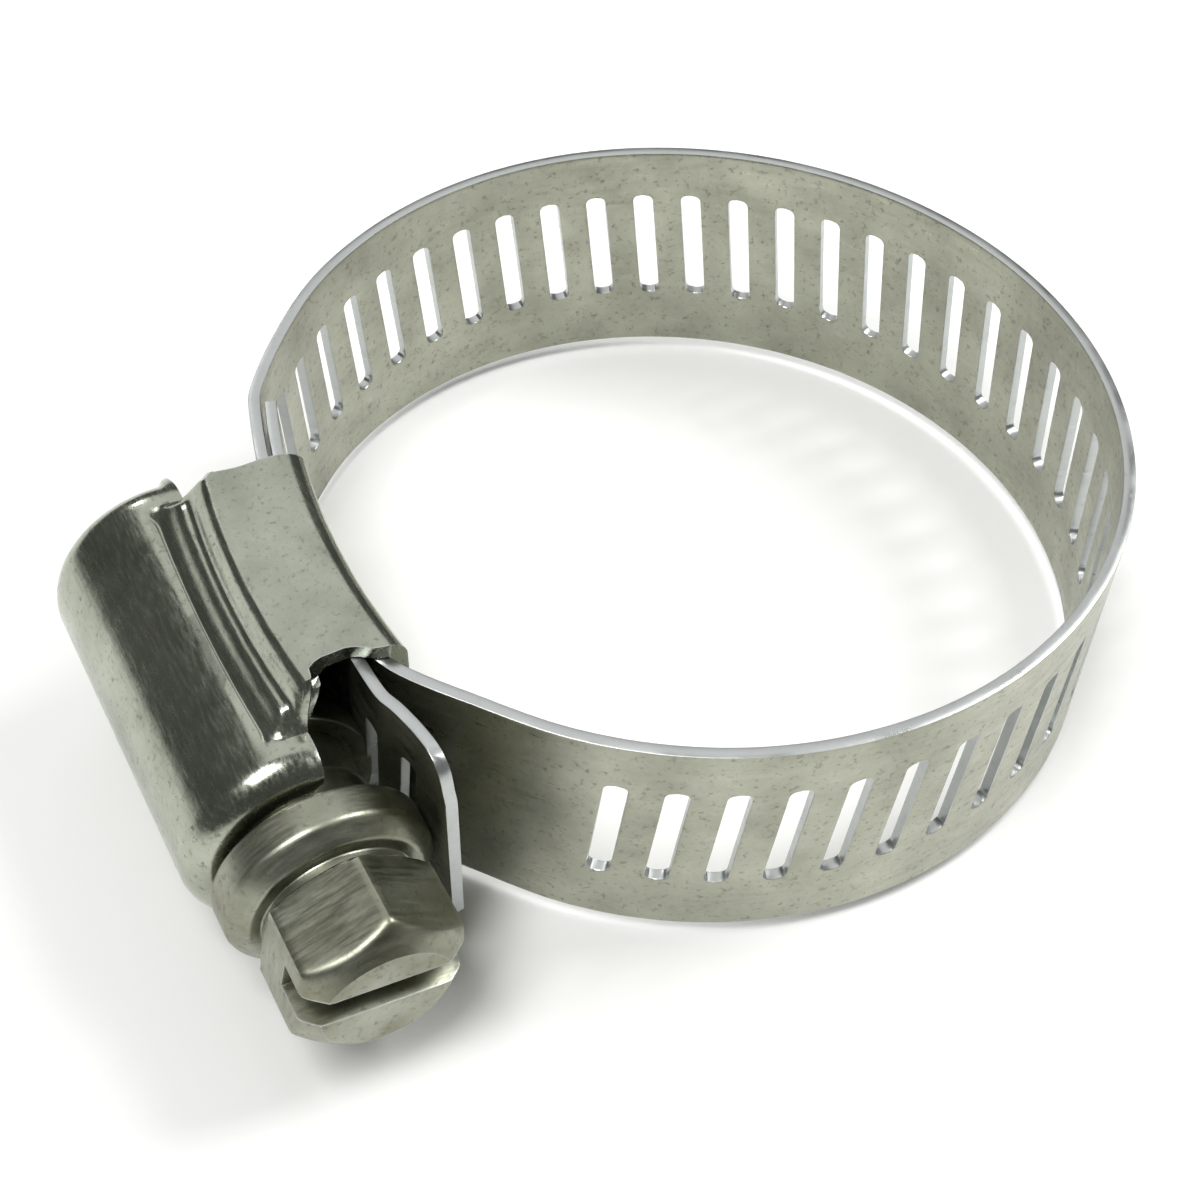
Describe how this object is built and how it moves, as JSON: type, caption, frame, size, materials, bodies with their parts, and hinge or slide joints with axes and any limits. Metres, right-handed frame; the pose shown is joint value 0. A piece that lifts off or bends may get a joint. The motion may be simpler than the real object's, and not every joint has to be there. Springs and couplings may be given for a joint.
{
  "type": "hose clamp",
  "caption": "Worm-drive hose clamp: a slotted steel band ring drawn through a formed housing by a hex-headed worm screw.",
  "frame": {"origin": "on the hose's axis, at mid-height of the band", "axes": "+Z along the hose's axis, +Y along the screw's axis from its head to its tip, the housing on -X"},
  "size_m": [0.0537, 0.0436, 0.0162],
  "materials": {
    "housing_steel": "tumbled stainless sheet, satin with soft bright edges",
    "screw_steel": "cold-formed stainless with fine turning marks",
    "band_steel": "rolled stainless strip, satin, paler cut edges"
  },
  "bodies": {
    "housing": {"housing": "housing_steel", "band_fixed_end": "band_steel"},
    "band_tongue": {"band_tongue": "band_steel"},
    "worm_screw": {"worm_screw": "screw_steel"},
    "band_tail": {"band_tail": "band_steel"},
    "band_link_01": {"band_link_01": "band_steel"},
    "band_link_02": {"band_link_02": "band_steel"},
    "band_link_03": {"band_link_03": "band_steel"},
    "band_link_04": {"band_link_04": "band_steel"},
    "band_link_05": {"band_link_05": "band_steel"},
    "band_link_06": {"band_link_06": "band_steel"},
    "band_link_07": {"band_link_07": "band_steel"},
    "band_link_08": {"band_link_08": "band_steel"},
    "band_link_09": {"band_link_09": "band_steel"},
    "band_link_10": {"band_link_10": "band_steel"},
    "band_link_11": {"band_link_11": "band_steel"},
    "band_link_12": {"band_link_12": "band_steel"},
    "band_link_13": {"band_link_13": "band_steel"}
  },
  "joints": [
    {"name": "screw_turn", "type": "hinge", "parent": "housing", "child": "worm_screw", "pos_m": [-0.02604, 0, 0], "axis": [0, 1, 0], "range_deg": [0, 630]},
    {"name": "tail_feed", "type": "hinge", "parent": "housing", "child": "band_tail", "pos_m": [0.01846, -0.002, 0], "axis": [0, 0, 1], "range_deg": [-0.05, 7.12]},
    {"name": "tongue_spring", "type": "hinge", "parent": "housing", "child": "band_tongue", "pos_m": [-0.01985, 0.0063, 0], "axis": [0, 0, 1], "range_deg": [-18.95, 0.05]},
    {"name": "band_bend_01", "type": "hinge", "parent": "housing", "child": "band_link_01", "pos_m": [-0.02027, -0.0075, 0], "axis": [0, 0, 1], "range_deg": [-0.719, 0.05]},
    {"name": "band_bend_02", "type": "hinge", "parent": "band_link_01", "child": "band_link_02", "pos_m": [-0.0098, -0.01851, 0], "axis": [0, 0, 1], "range_deg": [-0.05, 0.527]},
    {"name": "band_bend_03", "type": "hinge", "parent": "band_link_02", "child": "band_link_03", "pos_m": [-0.00184, -0.02124, 0], "axis": [0, 0, 1], "range_deg": [-0.05, 0.614]},
    {"name": "band_bend_04", "type": "hinge", "parent": "band_link_03", "child": "band_link_04", "pos_m": [0.00656, -0.02077, 0], "axis": [0, 0, 1], "range_deg": [-0.05, 0.765]},
    {"name": "band_bend_05", "type": "hinge", "parent": "band_link_04", "child": "band_link_05", "pos_m": [0.01406, -0.01697, 0], "axis": [0, 0, 1], "range_deg": [-0.05, 0.935]},
    {"name": "band_bend_06", "type": "hinge", "parent": "band_link_05", "child": "band_link_06", "pos_m": [0.01931, -0.01042, 0], "axis": [0, 0, 1], "range_deg": [-0.05, 1.07]},
    {"name": "band_bend_07", "type": "hinge", "parent": "band_link_06", "child": "band_link_07", "pos_m": [0.02143, -0.00228, 0], "axis": [0, 0, 1], "range_deg": [-0.05, 1.15]},
    {"name": "band_bend_08", "type": "hinge", "parent": "band_link_07", "child": "band_link_08", "pos_m": [0.02022, 0.00604, 0], "axis": [0, 0, 1], "range_deg": [-0.05, 1.14]},
    {"name": "band_bend_09", "type": "hinge", "parent": "band_link_08", "child": "band_link_09", "pos_m": [0.01603, 0.01334, 0], "axis": [0, 0, 1], "range_deg": [-0.05, 1.06]},
    {"name": "band_bend_10", "type": "hinge", "parent": "band_link_09", "child": "band_link_10", "pos_m": [0.00951, 0.01867, 0], "axis": [0, 0, 1], "range_deg": [-0.05, 0.96]},
    {"name": "band_bend_11", "type": "hinge", "parent": "band_link_10", "child": "band_link_11", "pos_m": [0.00151, 0.02129, 0], "axis": [0, 0, 1], "range_deg": [-0.05, 0.881]},
    {"name": "band_bend_12", "type": "hinge", "parent": "band_link_11", "child": "band_link_12", "pos_m": [-0.00687, 0.02068, 0], "axis": [0, 0, 1], "range_deg": [-0.05, 0.839]},
    {"name": "band_bend_13", "type": "hinge", "parent": "band_link_12", "child": "band_link_13", "pos_m": [-0.01431, 0.01676, 0], "axis": [0, 0, 1], "range_deg": [-1.7, 0.05]}
  ],
  "couplings": [
    {"joint": "tail_feed", "follows": "screw_turn", "ratio": 0.011228},
    {"joint": "tongue_spring", "follows": "screw_turn", "ratio": -0.03},
    {"joint": "band_bend_01", "follows": "screw_turn", "ratio": -0.0010622},
    {"joint": "band_bend_02", "follows": "screw_turn", "ratio": 0.00075754},
    {"joint": "band_bend_03", "follows": "screw_turn", "ratio": 0.00089548},
    {"joint": "band_bend_04", "follows": "screw_turn", "ratio": 0.0011346},
    {"joint": "band_bend_05", "follows": "screw_turn", "ratio": 0.0014048},
    {"joint": "band_bend_06", "follows": "screw_turn", "ratio": 0.0016261},
    {"joint": "band_bend_07", "follows": "screw_turn", "ratio": 0.0017382},
    {"joint": "band_bend_08", "follows": "screw_turn", "ratio": 0.0017229},
    {"joint": "band_bend_09", "follows": "screw_turn", "ratio": 0.0016077},
    {"joint": "band_bend_10", "follows": "screw_turn", "ratio": 0.0014512},
    {"joint": "band_bend_11", "follows": "screw_turn", "ratio": 0.0013184},
    {"joint": "band_bend_12", "follows": "screw_turn", "ratio": 0.0012532},
    {"joint": "band_bend_13", "follows": "screw_turn", "ratio": -0.0026194}
  ]
}
